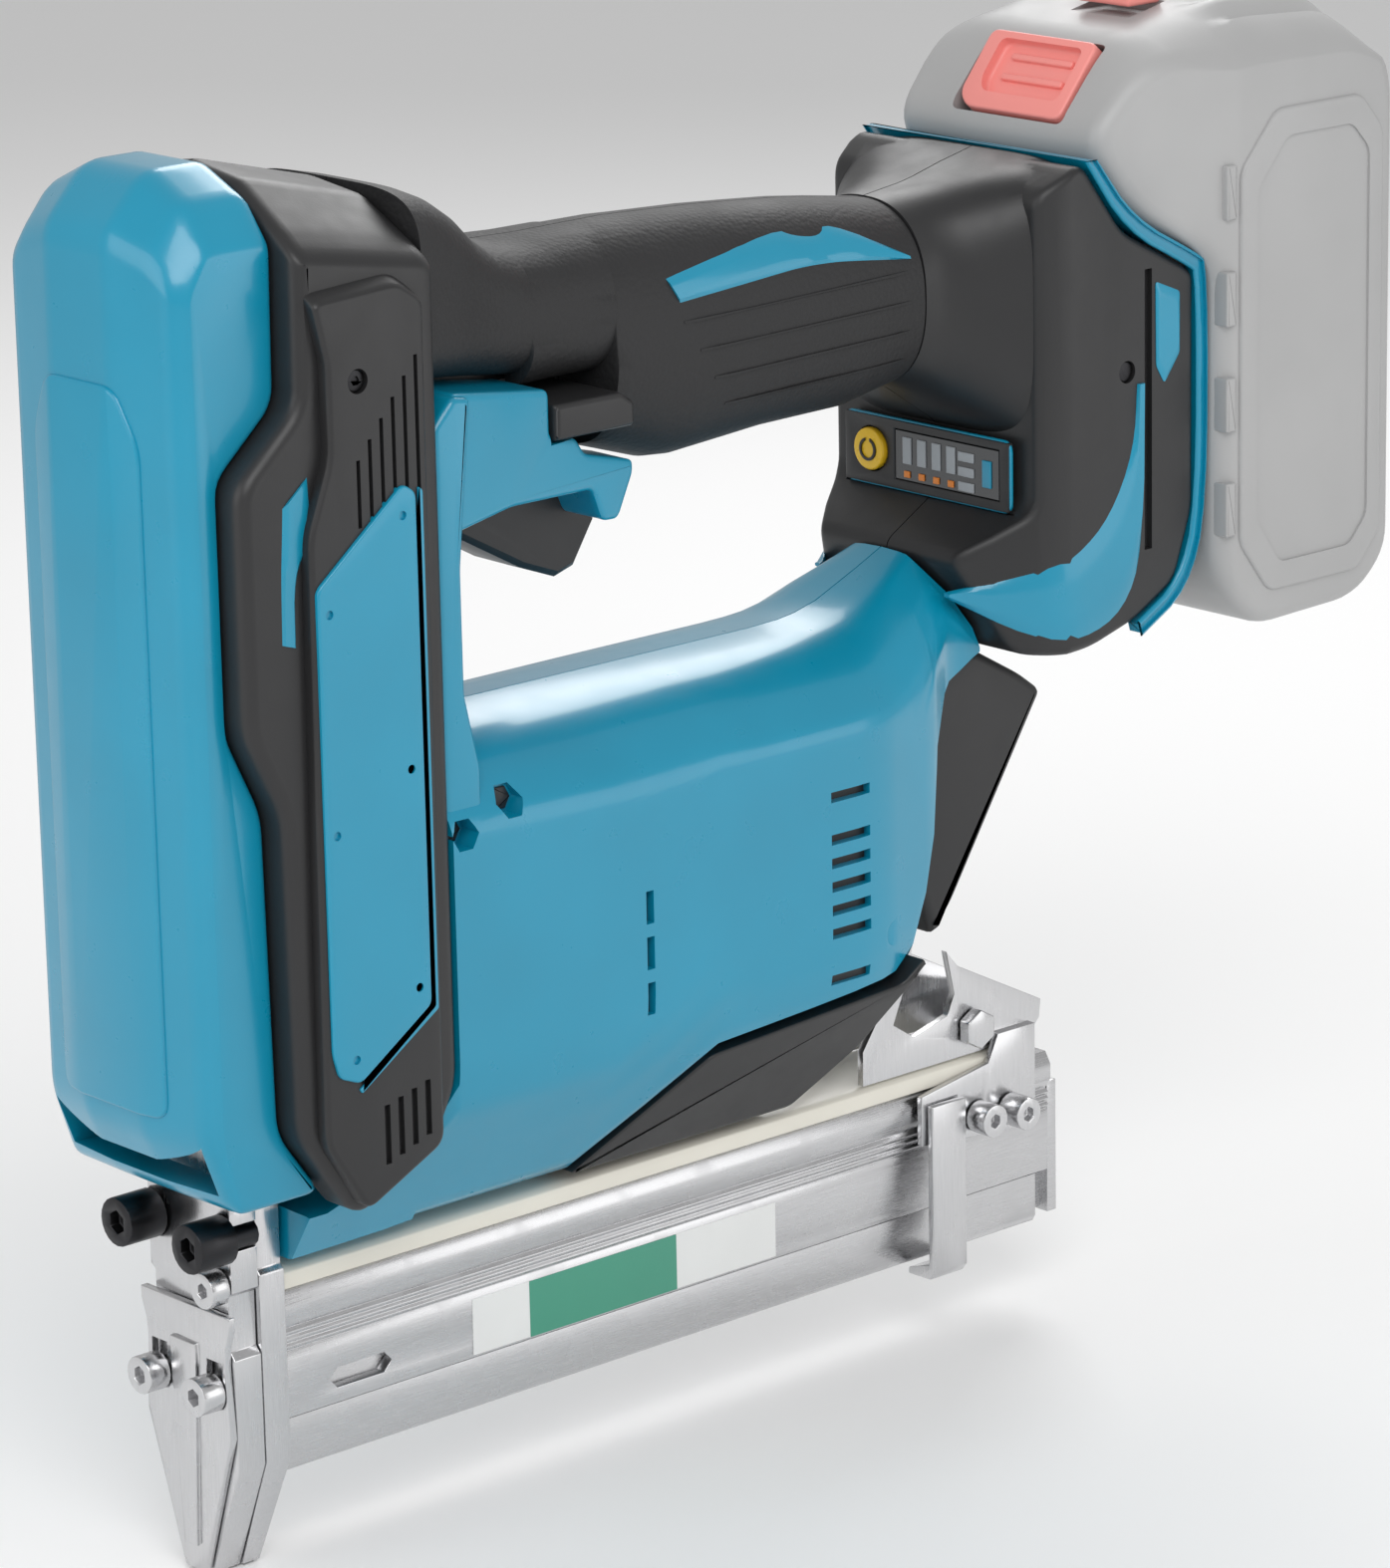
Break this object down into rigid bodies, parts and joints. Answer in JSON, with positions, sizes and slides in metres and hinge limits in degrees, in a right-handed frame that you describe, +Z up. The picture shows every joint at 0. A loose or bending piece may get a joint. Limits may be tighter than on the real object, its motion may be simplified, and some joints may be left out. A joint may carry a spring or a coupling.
{
  "type": "cordless brad nailer",
  "caption": "Cordless brad nailer: tall driver head, top grip over a hand window, motor housing, brad magazine under it and a slide-on battery at the rear.",
  "frame": {"origin": "nose tip's contact face, on the tool's mid plane beside the brad's line", "axes": "+X from the nose to the battery, +Z up away from the work, +Y to the right-hand side"},
  "size_m": [0.323, 0.075, 0.2862],
  "materials": {
    "blue_plastic": "satin moulded",
    "black_plastic": "fine moulded grain",
    "grip_rubber": "soft, matt",
    "bright_steel": "bright, ground",
    "dark_steel": "black oxide",
    "aluminium": "drawn, satin",
    "cream_rail": "pale, smooth",
    "battery_grey": "pale grey, satin",
    "release_pink": "pale red, satin",
    "yellow_button": "glossy",
    "circuit_green": "solder mask",
    "led_clear": "smoked window"
  },
  "bodies": {
    "tool": {"front_cover": "blue_plastic", "left_side_panel": "blue_plastic", "right_side_panel": "blue_plastic", "left_housing": "blue_plastic", "right_housing": "blue_plastic", "rear_trim": "blue_plastic", "left_swoosh": "blue_plastic", "right_swoosh": "blue_plastic", "left_head_shell": "black_plastic", "right_head_shell": "black_plastic", "lower_cover": "black_plastic", "left_base": "black_plastic", "right_base": "black_plastic", "control_panel": "black_plastic", "rear_strut": "black_plastic", "terminal_block": "black_plastic", "trigger_switch": "black_plastic", "left_grip": "grip_rubber", "right_grip": "grip_rubber", "bumper": "grip_rubber", "nose_middle_plate": "bright_steel", "nose_back_plate": "bright_steel", "left_nose_screw": "bright_steel", "right_nose_screw": "bright_steel", "lock_screw": "bright_steel", "latch_front_screw": "bright_steel", "latch_rear_screw": "bright_steel", "rear_bracket": "bright_steel", "bracket_bolt": "bright_steel", "trigger_pin": "bright_steel", "trigger_spring": "bright_steel", "frame_base_plate": "bright_steel", "frame_top_plate": "bright_steel", "left_guide_rod": "bright_steel", "right_guide_rod": "bright_steel", "left_frame_screw": "dark_steel", "right_frame_screw": "dark_steel", "left_main_spring": "dark_steel", "right_main_spring": "dark_steel", "motor_can": "dark_steel", "magazine_body": "aluminium", "gearbox_case": "aluminium", "magazine_top_rail": "cream_rail", "circuit_board": "circuit_green", "led_window": "led_clear"},
    "trigger": {"trigger": "black_plastic"},
    "lock_lever": {"lock_lever": "black_plastic"},
    "power_button": {"power_button": "yellow_button"},
    "lifter_wheel": {"lifter_wheel": "bright_steel"},
    "striker": {"striker": "bright_steel", "driver_blade": "bright_steel"},
    "motor_shaft": {"motor_shaft": "bright_steel"},
    "nose_front_plate": {"nose_front_plate": "bright_steel"},
    "magazine_rail": {"magazine_rail": "aluminium", "pusher_spring": "bright_steel"},
    "pusher": {"pusher": "dark_steel"},
    "latch_clip": {"latch_clip": "bright_steel"},
    "battery": {"battery_case": "battery_grey"},
    "battery_release": {"battery_release": "release_pink"},
    "gauge_button": {"gauge_button": "release_pink"}
  },
  "joints": [
    {"name": "trigger_hinge", "type": "hinge", "parent": "tool", "child": "trigger", "pos_m": [0.052, 0, 0.213], "axis": [0, -1, 0], "range_deg": [0, 6], "stiffness_Nm_per_rad": 2, "springref_deg": -2.86, "deforming": ["trigger_spring"]},
    {"name": "lock_slide", "type": "slide", "parent": "tool", "child": "lock_lever", "axis": [0, 1, 0], "range_m": [-0.004, 0.004]},
    {"name": "power_press", "type": "slide", "parent": "tool", "child": "power_button", "axis": [1, 0, 0], "range_m": [0, 0.0008], "stiffness_N_per_m": 300, "springref_m": -0.002},
    {"name": "wheel_spin", "type": "hinge", "parent": "tool", "child": "lifter_wheel", "pos_m": [0.0226, 0, 0.13], "axis": [1, 0, 0], "range_deg": [0, 264]},
    {"name": "striker_slide", "type": "slide", "parent": "tool", "child": "striker", "axis": [0, 0, 1], "range_m": [0, 0.046], "stiffness_N_per_m": 800, "springref_m": -0.02, "deforming": ["left_main_spring", "right_main_spring"]},
    {"name": "motor_spin", "type": "hinge", "parent": "tool", "child": "motor_shaft", "pos_m": [0.1, 0, 0.13], "axis": [1, 0, 0], "range_deg": [0, 5280]},
    {"name": "front_plate_slide", "type": "slide", "parent": "tool", "child": "nose_front_plate", "axis": [0, 0, -1], "range_m": [0, 0.004]},
    {"name": "rail_slide", "type": "slide", "parent": "tool", "child": "magazine_rail", "axis": [1, 0, 0], "range_m": [0, 0.12]},
    {"name": "pusher_slide", "type": "slide", "parent": "magazine_rail", "child": "pusher", "axis": [1, 0, 0], "range_m": [0, 0.12], "stiffness_N_per_m": 30, "springref_m": -0.1, "deforming": ["pusher_spring"]},
    {"name": "latch_swing", "type": "hinge", "parent": "tool", "child": "latch_clip", "pos_m": [0.186, -0.0134, 0.055], "axis": [-1, 0, 0], "range_deg": [0, 12], "stiffness_Nm_per_rad": 0.5, "springref_deg": -5.73},
    {"name": "battery_slide", "type": "slide", "parent": "tool", "child": "battery", "axis": [0, 0, 1], "range_m": [0, 0.115]},
    {"name": "release_press", "type": "slide", "parent": "battery", "child": "battery_release", "axis": [0.7719, 0, -0.6357], "range_m": [0, 0.002], "stiffness_N_per_m": 500, "springref_m": -0.004},
    {"name": "gauge_press", "type": "slide", "parent": "battery", "child": "gauge_button", "axis": [0, 0, -1], "range_m": [0, 0.001], "stiffness_N_per_m": 300, "springref_m": -0.002}
  ],
  "couplings": [
    {"joint": "wheel_spin", "follows": "striker_slide", "rad_per_m": 100},
    {"joint": "motor_spin", "follows": "striker_slide", "rad_per_m": 2000}
  ]
}
